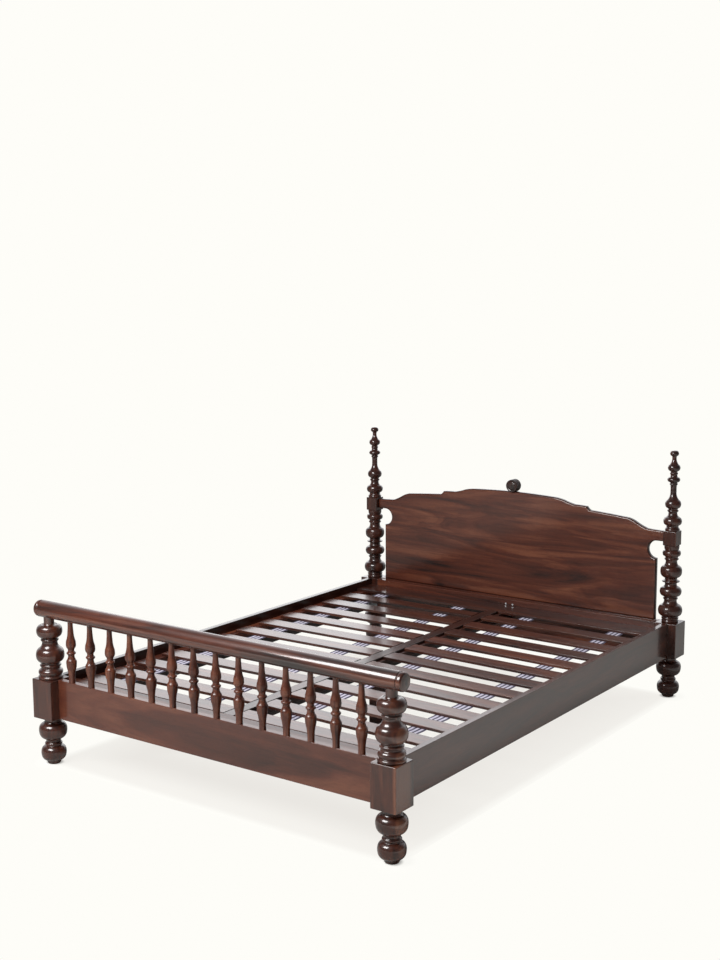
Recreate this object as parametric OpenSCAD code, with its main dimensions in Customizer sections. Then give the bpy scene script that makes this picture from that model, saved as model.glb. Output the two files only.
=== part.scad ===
// Double bed frame in hardwood: four turned posts on square blocks, a gallery of turned
// balusters under a round foot rail, a shaped one-piece headboard with a turned crest, and
// loose slats laid in two halves over a centre beam.
// X runs across the bed, +Y runs to the headboard, Z is up from the floor.

/* [Mattress] */
// Width of the mattress that the frame takes
mattress_w = 1524; // [1370:1:1676]
// Length of the mattress that the frame takes
mattress_l = 2032; // [1880:1:2134]
// Free space at each side of the mattress
side_play = 8; // [0:1:15]
// Free space at the ends of the mattress, both ends together
end_play = 25; // [5:1:50]

/* [Frame boards] */
// Thickness of the side rails, the foot board and the two head rails
board_t = 25; // [20:1:32]
// Height of the frame boards, and of the posts' square blocks
board_h = 153; // [130:1:180]
// Height of the boards' underside above the floor
board_z = 182; // [165:1:220]
// How far a board's outer face stands outside the post axes
board_out = 10; // [0:1:15]
// Radius of the eased edges of the boards
ease_r = 2; // [1:0.5:4]
// Radius of the eased edges of the posts' blocks
block_ease_r = 2.5; // [1:0.5:4]

/* [Posts] */
// Side of the square block on each post
block_w = 100; // [90:1:110]
// Length of the foot post's turning, from the block to the round dowel
gallery_turning_h = 210; // [190:1:240]
// Radius of the dowel that carries the foot rail
dowel_r = 19.5; // [12:0.5:22]
// Length of the head post's lower turning, between the two blocks
head_turning_h = 338; // [300:1:380]
// Side of the small square block that takes the headboard's tab
small_block_w = 59.5; // [50:0.5:66]
// Height of the small square block
small_block_h = 63; // [55:1:80]
// Length of the finial turning above the small block
finial_h = 348; // [300:1:400]
// Radius of the largest balls on the posts
ball_r = 51; // [44:0.5:54]

/* [Foot gallery] */
// Radius of the round foot rail
round_rail_r = 32; // [27:0.5:40]
// Height of the foot rail's axis above the blocks
round_rail_z = 264; // [250:1:290]
// Length of the foot rail beyond each post axis
round_rail_out = 53; // [51:1:80]
// Distance from a post axis to the first baluster's axis
baluster_margin = 116; // [95:1:140]
// Radius of the balusters where they are thickest
baluster_r = 19; // [14:0.2:22]
// Radius of the pin at a baluster's foot
baluster_pin_r = 6; // [4:0.5:8]
// Depth of the balusters' pins in the foot board
baluster_pin_l = 20; // [12:1:30]

/* [Headboard] */
// Thickness of the headboard panel
panel_t = 22; // [18:1:30]
// Height of the panel's top edge at the middle, above the lower rail
panel_h = 501; // [460:1:540]
// Gap between a post axis and the panel's straight side
panel_side_gap = 68; // [60:1:90]
// Radius of the round notch under each tab
notch_r = 39; // [30:1:45]
// Height of the tab that enters the small block
tab_h = 45; // [36:1:52]
// Step from the small block's top down to the tab's top edge
tab_step = 6; // [2:1:10]
// Depth of the tab's tenon in the small block
tab_tenon_l = 22; // [12:1:30]
// Radius of the turned crest
crest_r = 29.5; // [20:0.5:36]
// Length of the turned crest, from front to back
crest_l = 42; // [30:1:60]

/* [Slat deck] */
// Depth of the slats' top face below the top of the rails
deck_drop = 28; // [20:1:40]
// Width of a slat
slat_w = 79; // [60:1:90]
// Thickness of the slats and of the two cross boards
slat_t = 11; // [9:0.5:18]
// Width of the cross board at the foot
foot_cross_w = 101; // [80:1:120]
// Width of the cross board at the head
head_cross_w = 124; // [90:1:140]
// Space between the foot cross board and the first slat
first_slat_gap = 4; // [2:1:20]
// Space between the slats' outer ends and the side rails
slat_rail_gap = 25; // [5:1:30]
// Space between the slats' inner ends and the centre beam
slat_beam_gap = 4; // [3:0.5:8]
// Turn of the slats nearest the foot out of square, outer ends to the foot, in degrees
slat_turn_foot = 2; // [0:0.1:3]
// Turn of the slats nearest the head out of square, outer ends to the foot, in degrees
slat_turn_head = 0.9; // [0:0.1:3]
// Width of the centre beam
beam_w = 48; // [40:1:60]
// Height of the centre beam
beam_h = 60; // [50:1:80]
// Width of the side cleats
cleat_w = 45; // [30:1:60]
// Height of the side cleats
cleat_h = 30; // [20:1:40]
// Width of the ledger strips on the centre beam
ledger_w = 18; // [14:1:30]
// Height of the ledger strips on the centre beam
ledger_h = 25; // [18:1:35]
// Side of the square centre leg
leg_w = 75; // [50:1:90]
// Width of the webbing straps under the slats
strap_w = 65; // [40:1:75]
// Thickness of the webbing
strap_t = 1.6; // [1:0.1:2.5]
// Distance from the centre line to the inner straps
strap_inner_x = 180; // [150:1:220]
// Distance from the outer straps to the rails' inner faces
strap_outer_gap = 155; // [120:1:180]

/* [Joinery] */
// Thickness of the boards' tenons
tenon_t = 13; // [8:1:16]
// Length of the boards' tenons in the blocks
tenon_l = 36; // [25:1:40]
// Shoulder above and below each tenon
tenon_shoulder = 20; // [10:1:35]
// Clearance of tenons, pins and dowels in their holes
fit_gap = 0.3; // [0.1:0.1:0.5]
// Depth of the groove for the panel's tongue
tongue_h = 10; // [6:1:14]
// Thickness of the panel's tongue
tongue_t = 8; // [6:1:10]
// Thickness of the steel brackets
bracket_t = 2.5; // [2:0.5:4]
// Leg of the corner brackets
bracket_w = 32; // [20:1:34]
// Space between a corner bracket and the cleat above it, and below it to the rail's underside
bracket_gap = 12; // [6:1:14]
// Radius of the screw heads
screw_r = 4.5; // [3.5:0.5:6]
// Place across the bed of the two screws above the beam's head end
deck_screw_x = 13; // [-20:1:20]
// Distance between these two screws
deck_screw_pitch = 36; // [15:1:40]

/* [Hidden] */
$fn = 48;
slats_each_side = 12;
baluster_count = 14;

// Posts and boards
inner_w = mattress_w + 2 * side_play;
post_x = inner_w / 2 + board_t - board_out;
rail_inner_x = inner_w / 2;
head_y = (mattress_l + end_play + board_t - board_out + block_w / 2) / 2;
foot_y = -head_y;
deck_foot_y = foot_y + board_t - board_out;
deck_head_y = head_y - block_w / 2;
board_top = board_z + board_h;
block_in = block_w / 2;
// Radii of the turnings where they meet the blocks from below
collar_r = 32;
neck_r = 32;
between_blocks_y = 2 * (head_y - block_in);
between_blocks_x = 2 * (post_x - block_in);

// Foot gallery
round_rail_axis_z = board_top + round_rail_z;
round_rail_half = post_x + round_rail_out;
baluster_pitch = 2 * (post_x - baluster_margin) / (baluster_count - 1);
baluster_top_r = 9.6;

// Headboard
small_block_z = board_top + head_turning_h;
small_block_in = post_x - small_block_w / 2;
// The tongue stops short of the panel's sides
tongue_stop = 20;
tongue_half = post_x - panel_side_gap - tongue_stop;
head_rail_y = head_y + board_out - board_t;
panel_half = small_block_in;
tab_top = small_block_z + small_block_h - tab_step;

// Slat deck
deck_top = board_top - deck_drop;
deck_under = deck_top - slat_t;
slat_zone_foot = deck_foot_y + foot_cross_w + first_slat_gap;
slat_zone_head = deck_head_y - head_cross_w;
slat_pitch = (slat_zone_head - slat_zone_foot) / slats_each_side;
slat_inner_x = beam_w / 2 + slat_beam_gap;
slat_outer_x = rail_inner_x - slat_rail_gap;
strap_outer_x = rail_inner_x - strap_outer_gap;

function two(n) = str(n < 10 ? "0" : "", n);

// An outline of straight and round stretches. Each point is [x, y, bulge], where bulge is how
// far the arc from this point to the next one swells out to its right, or in where negative.
arc_step = 14;

function stretch(a, b) =
  a[2] == 0 ? [[a[0], a[1]]] :
  let (
    run = [b[0] - a[0], b[1] - a[1]],
    half = norm(run) / 2,
    along = run / (2 * half),
    out = [along[1], -along[0]],
    r = (half * half + a[2] * a[2]) / (2 * a[2]),
    turn = 4 * atan(abs(a[2]) / half),
    steps = ceil(turn / arc_step))
  [for (k = [0 : steps - 1]) let (t = turn * (k / steps - 0.5))
    [a[0], a[1]] + (half + abs(r) * sin(t)) * along + (r * cos(t) - r + a[2]) * out];

function outline(p) = [for (i = [0 : len(p) - 1]) each stretch(p[i], p[(i + 1) % len(p)])];

// A turning is a list of members from its foot up, each [height, radius at its foot, bulge of
// its side]. The members are stretched together to fill the height that is asked for, and their
// radii by fullness.
function total(v, n) = n == 0 ? 0 : v[n - 1][0] + total(v, n - 1);

module turning(members, height, top_r, fullness = ball_r / drawn_ball_r) {
  k = height / total(members, len(members));
  side = [for (i = [0 : len(members) - 1])
    [fullness * members[i][1], k * total(members, i), fullness * members[i][2]]];
  end = top_r > 0 ? [[top_r, height, 0], [0, height, 0]] : [[0, height, 0]];
  rotate_extrude() polygon(outline(concat([[0, 0, 0]], side, end)));
}

// Foot below every block: pad, bun, ring, neck, ball and collar.
foot_turning = [
  [12, 23, 1], [31, 27, 8], [27, 45.5, 6.6], [3, 31.5, -0.6], [11, 30, 3.2], [13, 29.5, -2.6],
  [34, 31, 8.4], [28, 51, 7], [12, 36.5, -1.8], [11, 30.5, -0.8]];

// Foot post above its block: base ring, torus, cove, ring, ball that flares to a neck, ring,
// and a flat-topped ball under the dowel.
gallery_turning = [
  [12, 44, 3.5], [3, 43, -1.2], [21, 42, 4.8], [10, 40, -3.4], [9, 37, 3.4], [7, 36, -1.5],
  [32, 35.5, 7.8], [24, 51, 4.6], [25, 39, -3.6], [12, 29, 4.2], [3, 29.5, -0.6],
  [25, 31, 6.6], [24, 46.7, 7.4], [3, 29, -2.5]];

// Head post between its blocks: three onion-shaped balls that flare up to necks, with thin
// rings between them, and a disc and a collar under the small block.
head_turning = [
  [10, 35, 1.8], [3, 34.5, -0.6], [9, 34.5, 2.6], [4, 34, -0.8],
  [25, 34.5, 6.6], [25, 50, 5.6], [23, 37, -4], [10, 27.5, 4], [5, 27.5, -0.8],
  [21, 30, 6.2], [20, 45, 5.2], [17, 32, -3], [5, 26, -1], [5, 36, 1.8], [5, 36, -1],
  [9, 26, -1], [30, 29, 7], [22, 44.5, 5], [25, 33, -4], [10, 25.5, 4], [7, 27, -1],
  [13, 29, 4.4], [13, 37, 4.4], [5, 29.5, -0.8], [17, 31, 0.6]];

// Head post above its small block, up to the finial's flat button.
finial_turning = [
  [12, 30, 2], [12, 29, -2.6], [19, 27, 4.8], [17, 38, 4], [22, 27.5, -3.4], [11, 19, 4],
  [5, 20, -0.6], [20, 22, 4.8], [16, 32.5, 2.8], [38, 25.5, -4.2], [26, 13, -0.5],
  [2, 13.5, 0], [7, 16, 1.6], [5, 15, -0.8], [11, 18, 3.2], [10, 26.5, 3], [12, 17, -1.6],
  [9, 15, 2.4], [5, 14, -0.6], [15, 16, 3.6], [13, 25.5, 2.4], [31, 19.5, -3.2],
  [6, 9.3, -0.3], [12, 11, 2.8], [11, 18.2, 2.6], [1, 10, 0]];

// Baluster between the foot board and the foot rail: two vases with a ring between them.
baluster_turning = [
  [26, 12.4, -0.6], [24, 12.6, -0.5], [25, 15.8, 1.2], [14, 19, 1.8], [16, 16.3, -1.2],
  [4, 12, 0], [10, 13.5, 4], [5, 13, -0.3], [9, 11.8, -0.9], [15, 14.5, 2], [17, 17.8, 1.2],
  [30, 16, -1], [38, 11.2, -0.6]];

// The largest radius that each kind of turning is drawn with
drawn_ball_r = max([for (member = foot_turning) member[1]]);
drawn_baluster_r = max([for (member = baluster_turning) member[1]]);

// The section of a board with eased edges, centred on its middle
module eased_section(w, h, r) {
  translate([-w / 2 + r, -h / 2]) square([w - 2 * r, h]);
  translate([-w / 2, -h / 2 + r]) square([w, h - 2 * r]);
  for (x = [-1, 1], y = [-1, 1]) translate([x * (w / 2 - r), y * (h / 2 - r)]) circle(r);
}

module board_x(l, w, h, r = ease_r) {
  translate([-l / 2, 0, 0]) rotate([90, 0, 90]) linear_extrude(l) eased_section(w, h, r);
}

module board_y(l, w, h, r = ease_r) {
  translate([0, l / 2, 0]) rotate([90, 0, 0]) linear_extrude(l) eased_section(w, h, r);
}

module square_block(w, h, r) {
  linear_extrude(h) eased_section(w, w, r);
}

// Tenons and the mortises that take them
module tenon(play = 0) {
  l = tenon_l + play;
  cube([2 * l, tenon_t + 2 * play, board_h - 2 * tenon_shoulder + 2 * play], center = true);
}

board_mid_z = board_z + board_h / 2;
foot_board_mid_y = foot_y - board_out + board_t / 2;
head_rail_mid_y = head_rail_y + board_t / 2;
head_cross_mid_y = deck_head_y + board_t / 2;
side_rail_mid_x = rail_inner_x + board_t / 2;
block_face_x = post_x - block_in;

module mortise_x(side, y) {
  translate([side * block_face_x, y, board_mid_z]) tenon(fit_gap);
}

module mortise_y(side, y) {
  translate([side * side_rail_mid_x, y, board_mid_z]) rotate(90) tenon(fit_gap);
}

module foot_post(side) {
  color("#4a2318") difference() {
    translate([side * post_x, foot_y, 0]) {
      turning(foot_turning, board_z, collar_r);
      translate([0, 0, board_z]) square_block(block_w, board_h, block_ease_r);
      translate([0, 0, board_top]) turning(gallery_turning, gallery_turning_h, dowel_r);
      translate([0, 0, board_top]) cylinder(h = round_rail_z - fit_gap, r = dowel_r);
    }
    mortise_x(side, foot_board_mid_y);
    mortise_y(side, foot_y + block_in);
    at_corners() angle_holes();
  }
}

module head_post(side) {
  color("#4a2318") difference() {
    translate([side * post_x, head_y, 0]) {
      turning(foot_turning, board_z, collar_r);
      translate([0, 0, board_z]) square_block(block_w, board_h, block_ease_r);
      translate([0, 0, board_top]) turning(head_turning, head_turning_h, neck_r);
      translate([0, 0, small_block_z]) square_block(small_block_w, small_block_h, block_ease_r);
      translate([0, 0, small_block_z + small_block_h]) turning(finial_turning, finial_h, 0);
    }
    mortise_x(side, head_rail_mid_y);
    mortise_x(side, head_cross_mid_y);
    mortise_y(side, head_y - block_in);
    translate([side * small_block_in, head_y, tab_top - tab_h / 2]) tab_tenon(fit_gap);
    at_corners() angle_holes();
  }
}

// The tongue of the headboard's tab inside the small block
module tab_tenon(play = 0) {
  cube([2 * (tab_tenon_l + play), panel_t / 2 + 2 * play, tab_h * 2 / 3 + 2 * play], center = true);
}

module foot_board() {
  color("#55281c") difference() {
    union() {
      translate([0, foot_board_mid_y, board_mid_z]) board_x(between_blocks_x, board_t, board_h);
      for (side = [-1, 1]) translate([side * block_face_x, foot_board_mid_y, board_mid_z]) tenon();
    }
    for (i = [1 : baluster_count]) translate([baluster_x(i), foot_y, board_top - baluster_pin_l - 1])
      cylinder(h = baluster_pin_l + 2, r = baluster_pin_r + fit_gap);
    at_beam_ends() seat_holes();
  }
}

function baluster_x(i) = (i - (baluster_count + 1) / 2) * baluster_pitch;

module baluster(i) {
  top_h = sqrt(pow(round_rail_r, 2) - pow(baluster_top_r, 2));
  color("#5e2d1c") translate([baluster_x(i), foot_y, board_top]) {
    turning(baluster_turning, round_rail_z - top_h, baluster_top_r, baluster_r / drawn_baluster_r);
    translate([0, 0, -baluster_pin_l]) cylinder(h = baluster_pin_l + 1, r = baluster_pin_r);
    cylinder(h = round_rail_z - fit_gap, r = baluster_top_r);
  }
}

// The round rail, with a groove and a button at each end, bored from below for its dowels
groove_w = 4;
groove_deep = 1.2;
groove_from_end = 22;
button_round = 9;

module half_round_rail() {
  groove = round_rail_half - groove_from_end;
  rotate([0, 90, 0]) rotate_extrude() polygon(outline([
    [0, 0, 0], [round_rail_r, 0, 0], [round_rail_r, groove, -groove_deep],
    [round_rail_r, groove + groove_w, 0], [round_rail_r, round_rail_half - button_round, 3],
    [round_rail_r - button_round, round_rail_half - 1, 0.6], [0, round_rail_half, 0]]));
}

module foot_top_rail() {
  color("#4a2318") difference() {
    translate([0, foot_y, round_rail_axis_z]) {
      half_round_rail();
      mirror([1, 0, 0]) half_round_rail();
    }
    for (side = [-1, 1]) translate([side * post_x, foot_y, round_rail_axis_z - round_rail_r - 1])
      cylinder(h = round_rail_r + 1, r = dowel_r + fit_gap);
    for (i = [1 : baluster_count])
      translate([baluster_x(i), foot_y, round_rail_axis_z - round_rail_r - 1])
        cylinder(h = round_rail_r + 1, r = baluster_top_r + fit_gap);
  }
}

module side_rail(side) {
  color("#52271b") difference() {
    union() {
      translate([side * side_rail_mid_x, 0, board_mid_z])
        board_y(between_blocks_y, board_t, board_h);
      for (end = [-1, 1])
        translate([side * side_rail_mid_x, end * (head_y - block_in), board_mid_z])
          rotate(90) tenon();
    }
    at_corners() angle_holes();
  }
}

module head_rail() {
  color("#55281c") difference() {
    union() {
      translate([0, head_rail_mid_y, board_mid_z]) board_x(between_blocks_x, board_t, board_h);
      for (side = [-1, 1]) translate([side * block_face_x, head_rail_mid_y, board_mid_z]) tenon();
    }
    translate([0, head_y, board_top]) cube([2 * (tongue_half + fit_gap), tongue_t + 2 * fit_gap,
      2 * (tongue_h + fit_gap)], center = true);
  }
}

module head_cross_rail() {
  color("#55281c") difference() {
    union() {
      translate([0, head_cross_mid_y, board_mid_z]) board_x(between_blocks_x, board_t, board_h);
      for (side = [-1, 1]) translate([side * block_face_x, head_cross_mid_y, board_mid_z]) tenon();
    }
    at_corners() angle_holes();
    at_beam_ends() seat_holes();
    at_deck_screws() shank();
  }
}

// Right half of the panel's outline, seen from the foot, from its foot corner up and inwards
panel_side_x = post_x - panel_side_gap;
panel_top = board_top + panel_h;
panel_steps = [
  [panel_side_x, board_top, 0],
  [panel_side_x, tab_top - tab_h - 2 * notch_r, -notch_r],
  [panel_side_x, tab_top - tab_h, 0], [panel_half, tab_top - tab_h, 0],
  [panel_half, tab_top, 0], [0.886 * panel_half, tab_top + 4, -1.5],
  [0.813 * panel_half, panel_top - 76, 3], [0.745 * panel_half, panel_top - 61.5, 0.5],
  [0.522 * panel_half, panel_top - 48.5, -1.5], [0.5 * panel_half, panel_top - 33, 0.8],
  [0.42 * panel_half, panel_top - 30, -1.5], [0.346 * panel_half, panel_top - 15, 1.8],
  [0.265 * panel_half, panel_top - 6, 1]];

function mirrored(p) = [for (i = [len(p) - 1 : -1 : 0]) [-p[i][0], p[i][1]]];

// The right half's points up to the top of the panel, which the mirrored half goes on from
panel_right = [for (q = outline(concat(panel_steps, [[0, panel_top, 0]])))
  if (q[0] > 0) q];

module headboard_panel() {
  color("#4d2419") {
    translate([0, head_y + panel_t / 2, 0]) rotate([90, 0, 0]) linear_extrude(panel_t)
      polygon(concat(panel_right, [[0, panel_top]], mirrored(panel_right)));
    for (side = [-1, 1]) translate([side * small_block_in, head_y, tab_top - tab_h / 2]) tab_tenon();
    translate([0, head_y, board_top]) cube([2 * tongue_half, tongue_t, 2 * tongue_h],
      center = true);
  }
}

// The crest is a short turned drum that lies on the panel's top edge with its face to the foot.
// It has four ribs round it and a shallow dish in its face, and its underside is cut to the panel.
crest_rib = 2;
crest_rim = 6;
crest_dish_w = 9;
crest_dish_deep = 1.5;
crest_sink = 3;

module headboard_crest() {
  half = crest_l / 2;
  face_r = crest_r - crest_rim;
  color("#4a2318") difference() {
    translate([0, head_y, panel_top + crest_r - crest_sink]) rotate([90, 0, 0])
      translate([0, 0, -half]) rotate_extrude() polygon(outline(concat(
        [[0, 0, 0]],
        [for (k = [0 : 3]) [crest_r - crest_rib, k * crest_l / 4, crest_rib]],
        [[crest_r - crest_rib, crest_l, 0], [face_r, crest_l, -crest_dish_deep],
         [face_r - crest_dish_w, crest_l, 0], [0, crest_l, 0]])));
    translate([-crest_r, head_y - panel_t / 2, panel_top - crest_r])
      cube([2 * crest_r, panel_t, crest_r]);
  }
}

module side_cleat(side) {
  color("#6b4a36") translate([side * (rail_inner_x - cleat_w / 2), 0, deck_under - cleat_h / 2])
    board_y(between_blocks_y, cleat_w, cleat_h);
}

module foot_cross_board() {
  color("#6d3628") difference() {
    translate([0, deck_foot_y + foot_cross_w / 2, deck_top - slat_t / 2])
      board_x(inner_w, foot_cross_w, slat_t);
    for (side = [-1, 1]) translate([side * post_x, foot_y, deck_top])
      cube([block_w + 2 * fit_gap, block_w + 2 * fit_gap, 3 * slat_t], center = true);
  }
}

module head_cross_board() {
  color("#6d3628") translate([0, deck_head_y - head_cross_w / 2, deck_top - slat_t / 2])
    board_x(inner_w, head_cross_w, slat_t);
}

// The beam is notched at both ends, where the cross boards lie over it
beam_l = deck_head_y - deck_foot_y;
beam_mid_y = (deck_head_y + deck_foot_y) / 2;

module centre_beam() {
  color("#6d3628") difference() {
    translate([0, beam_mid_y, deck_top - beam_h / 2]) board_y(beam_l, beam_w, beam_h);
    translate([-beam_w, deck_foot_y - 1, deck_under]) cube([2 * beam_w, foot_cross_w + 1, beam_h]);
    translate([-beam_w, deck_head_y - head_cross_w, deck_under])
      cube([2 * beam_w, head_cross_w + 1, beam_h]);
    at_beam_ends() seat_holes();
  }
}

// Strips glued along both sides of the beam, under the slats' inner ends
module beam_ledgers() {
  color("#6b4a36") for (side = [-1, 1])
    translate([side * (beam_w + ledger_w) / 2, beam_mid_y, deck_under - ledger_h / 2])
      board_y(beam_l, ledger_w, ledger_h);
}

module centre_leg() {
  color("#54311f") square_block(leg_w, deck_top - beam_h, block_ease_r);
}

// The slats lie loose. The first one is square to the beam, and the others lie a little turned,
// the more so the nearer the foot.
function slat_turn(i) = i == 1 ? 0 :
  slat_turn_foot + (slat_turn_head - slat_turn_foot) * (i - 2) / (slats_each_side - 2);

module slat(side, i) {
  l = slat_outer_x - slat_inner_x;
  y = slat_zone_foot + slat_w / 2 + (i - 1) * slat_pitch;
  color(side < 0 ? "#8a6355" : "#7a4a3c")
    translate([side * slat_inner_x, y, deck_top - slat_t / 2]) rotate(-side * slat_turn(i))
      translate([side * l / 2, 0, 0]) board_x(l, slat_w, slat_t);
}

// Webbing straps that tie each half's slats together, stapled along the slats' undersides
module webbing() {
  l = slat_zone_head - slat_zone_foot;
  color("#e6e4ea") for (x = [-strap_outer_x, -strap_inner_x, strap_inner_x, strap_outer_x])
    translate([x, (slat_zone_head + slat_zone_foot) / 2, deck_under - strap_t / 2])
      cube([strap_w, l, strap_t], center = true);
}

// Steel angles: one under the deck in each corner between a side rail and a block, and one
// under each end of the centre beam
module angle(w, h) {
  translate([-w, -bracket_t, 0]) cube([w, bracket_t, h]);
  translate([-bracket_t, -w, 0]) cube([bracket_t, w, h]);
}

bracket_h = deck_under - cleat_h - board_z - 2 * bracket_gap;

// Children are drawn at each corner, with the rail's face at +X and the block's face at +Y
module at_corners() {
  for (side = [0, 1], end = [0, 1]) mirror([side, 0]) mirror([0, end])
    translate([rail_inner_x, head_y - block_in, board_z + bracket_gap]) children();
}

// Children are drawn under each end of the beam, with the cross board's face at +Y
module at_beam_ends() {
  translate([0, deck_head_y, deck_top - beam_h]) children();
  translate([0, deck_foot_y, deck_top - beam_h]) mirror([0, 1]) children();
}

module beam_seat() {
  translate([-beam_w / 2, -bracket_w, -bracket_t]) cube([beam_w, bracket_w, bracket_t]);
  translate([-beam_w / 2, -bracket_t, -bracket_w]) cube([beam_w, bracket_t, bracket_w]);
}

// A round-headed screw driven along +X, with its head's seat at the origin
screw_l = 18;
shank_r = screw_r / 2.2;
head_h = screw_r / 2;
deck_screw_clear = 1.5;

module shank() {
  rotate([0, 90, 0]) translate([0, 0, -head_h / 2]) cylinder(h = screw_l + head_h / 2, r = shank_r);
}

module screw_head() {
  rotate([0, -90, 0]) rotate_extrude()
    polygon(outline([[0, 0, 0], [screw_r, 0, 0.8], [screw_r * 0.6, head_h, 0], [0, head_h, 0]]));
}

module screw() {
  rotate([0, 90, 0]) cylinder(h = screw_l, r = shank_r);
  screw_head();
}

// Children are drawn at each screw of a corner angle
module at_angle_screws() {
  for (z = [bracket_h / 5, bracket_h * 4 / 5]) {
    translate([-bracket_t, -bracket_w * 0.6, z]) children();
    translate([-bracket_w * 0.6, -bracket_t, z]) rotate(90) children();
  }
}

// Children are drawn at each screw of a beam seat
module at_seat_screws() {
  for (x = [-beam_w / 4, beam_w / 4]) {
    translate([x, -bracket_w * 0.6, -bracket_t]) rotate([0, -90, 0]) children();
    translate([x, -bracket_t, -bracket_w * 0.6]) rotate(90) children();
  }
}

// Children are drawn at the two screws in the cross rail's face, just above the deck
module at_deck_screws() {
  for (x = [-deck_screw_pitch / 2, deck_screw_pitch / 2])
    translate([deck_screw_x + x, deck_head_y, deck_top + screw_r + deck_screw_clear])
      rotate(90) children();
}

module angle_holes() { at_angle_screws() shank(); }
module seat_holes() { at_seat_screws() shank(); }

module steel_brackets() {
  color("#b9b9bb") difference() {
    union() {
      at_corners() angle(bracket_w, bracket_h);
      at_beam_ends() beam_seat();
    }
    at_corners() angle_holes();
    at_beam_ends() seat_holes();
  }
}

module screws() {
  color("#d8d8da") {
    at_corners() at_angle_screws() screw();
    at_beam_ends() at_seat_screws() screw();
    at_deck_screws() screw();
  }
}

foot_post(-1);  // foot_post_left
foot_post(1);  // foot_post_right
head_post(-1);  // head_post_left
head_post(1);  // head_post_right
foot_board();
foot_top_rail();
side_rail(-1);  // side_rail_left
side_rail(1);  // side_rail_right
head_rail();
head_cross_rail();
headboard_panel();
headboard_crest();
side_cleat(-1);  // side_cleat_left
side_cleat(1);  // side_cleat_right
foot_cross_board();
head_cross_board();
centre_beam();
beam_ledgers();
centre_leg();
webbing();
steel_brackets();
screws();
for (i = [1 : baluster_count])
  baluster(i);
for (i = [1 : slats_each_side]) {
  slat(-1, i);
  slat(1, i);
}
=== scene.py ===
"""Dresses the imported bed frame: smooth turned posts, foot rail, balusters and crest, a headboard
with eased edges, varnished rosewood with its figure, striped webbing and plated fittings, on a
pale floor."""

import math

import bpy
import numpy as np
from bpy.props import FloatProperty, FloatVectorProperty, PointerProperty
from mathutils import Matrix


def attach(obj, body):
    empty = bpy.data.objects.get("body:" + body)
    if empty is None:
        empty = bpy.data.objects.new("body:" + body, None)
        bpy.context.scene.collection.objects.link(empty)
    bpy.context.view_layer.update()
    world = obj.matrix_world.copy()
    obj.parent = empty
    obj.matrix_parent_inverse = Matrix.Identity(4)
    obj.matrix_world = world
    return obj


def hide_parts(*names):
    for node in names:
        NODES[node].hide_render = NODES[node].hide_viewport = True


bl_info = {
    "name": "Turned Bed Dressing",
    "version": (1, 0, 0),
    "blender": (4, 5, 0),
    "location": "3D View > Sidebar > Bed",
    "description": "Dresses a turned hardwood bed frame in smooth turnings and procedural woods",
    "category": "Object",
}

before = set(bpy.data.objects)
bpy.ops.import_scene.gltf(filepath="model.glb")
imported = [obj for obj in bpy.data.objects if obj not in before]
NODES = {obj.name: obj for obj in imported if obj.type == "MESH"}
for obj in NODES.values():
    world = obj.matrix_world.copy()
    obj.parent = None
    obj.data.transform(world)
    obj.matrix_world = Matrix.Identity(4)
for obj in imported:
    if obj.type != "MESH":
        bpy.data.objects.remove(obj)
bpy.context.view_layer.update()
MM = 0.001


def linear(hex_colour):
    """An sRGB hex colour as linear red, green and blue, by the sRGB curve."""
    s = np.array([int(hex_colour[i:i + 2], 16) / 255 for i in (1, 3, 5)])
    return tuple(np.where(s <= 0.04045, s / 12.92, ((s + 0.055) / 1.055) ** 2.4).tolist())


# Sizes and colours that a user would change


def length(name, description, mm, low, high):
    """A length that a user may set, given in millimetres with its lowest and highest value."""
    return FloatProperty(name=name, description=description, default=mm * MM, min=low * MM,
                         max=high * MM, unit="LENGTH", subtype="DISTANCE", precision=4)


def colour(name, description, hex_colour):
    """A colour that a user may set, given as sRGB hex."""
    return FloatVectorProperty(name=name, description=description, default=linear(hex_colour),
                               min=0.0, max=1.0, size=3, subtype="COLOR")


class BedSizes(bpy.types.PropertyGroup):
    panel_round: length("Panel front edge", "Radius of the headboard's rounded front edge", 8.0,
                        2.0, 10.0)
    panel_ease: length("Panel back edge", "Radius of the headboard's eased back edge", 2.5, 0.5,
                       5.0)
    block_ease: length("Block edge", "Radius of the eased edges of the posts' blocks", 2.5, 1.0,
                       4.0)
    turning_step: length("Turning step", "Longest step along a turned outline", 1.6, 0.5, 4.0)
    stripe_w: length("Stripe", "Width of a dark stripe in the webbing", 8.5, 4.0, 14.0)
    strap_sag: length("Strap sag", "Depth that a strap sags between two slats", 1.0, 0.0, 2.0)


class BedColours(bpy.types.PropertyGroup):
    sapwood: colour("Pale wood", "The palest wood between the growth layers", "#8a5238")
    heartwood: colour("Red wood", "The red-brown of most of the wood", "#5c2c1c")
    growth_lines: colour("Dark wood", "The dark growth lines and ovals", "#25130f")
    cotton: colour("Cotton", "The pale threads of the webbing", "#d6d2e0")
    indigo: colour("Indigo", "The dark stripes of the webbing", "#332d4e")
    zinc: colour("Zinc", "The plated steel of brackets and screws", "#e0e1e4")


def sizes():
    return bpy.context.scene.bed_sizes


def colours():
    return bpy.context.scene.bed_colours


# Nodes and materials


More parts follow.
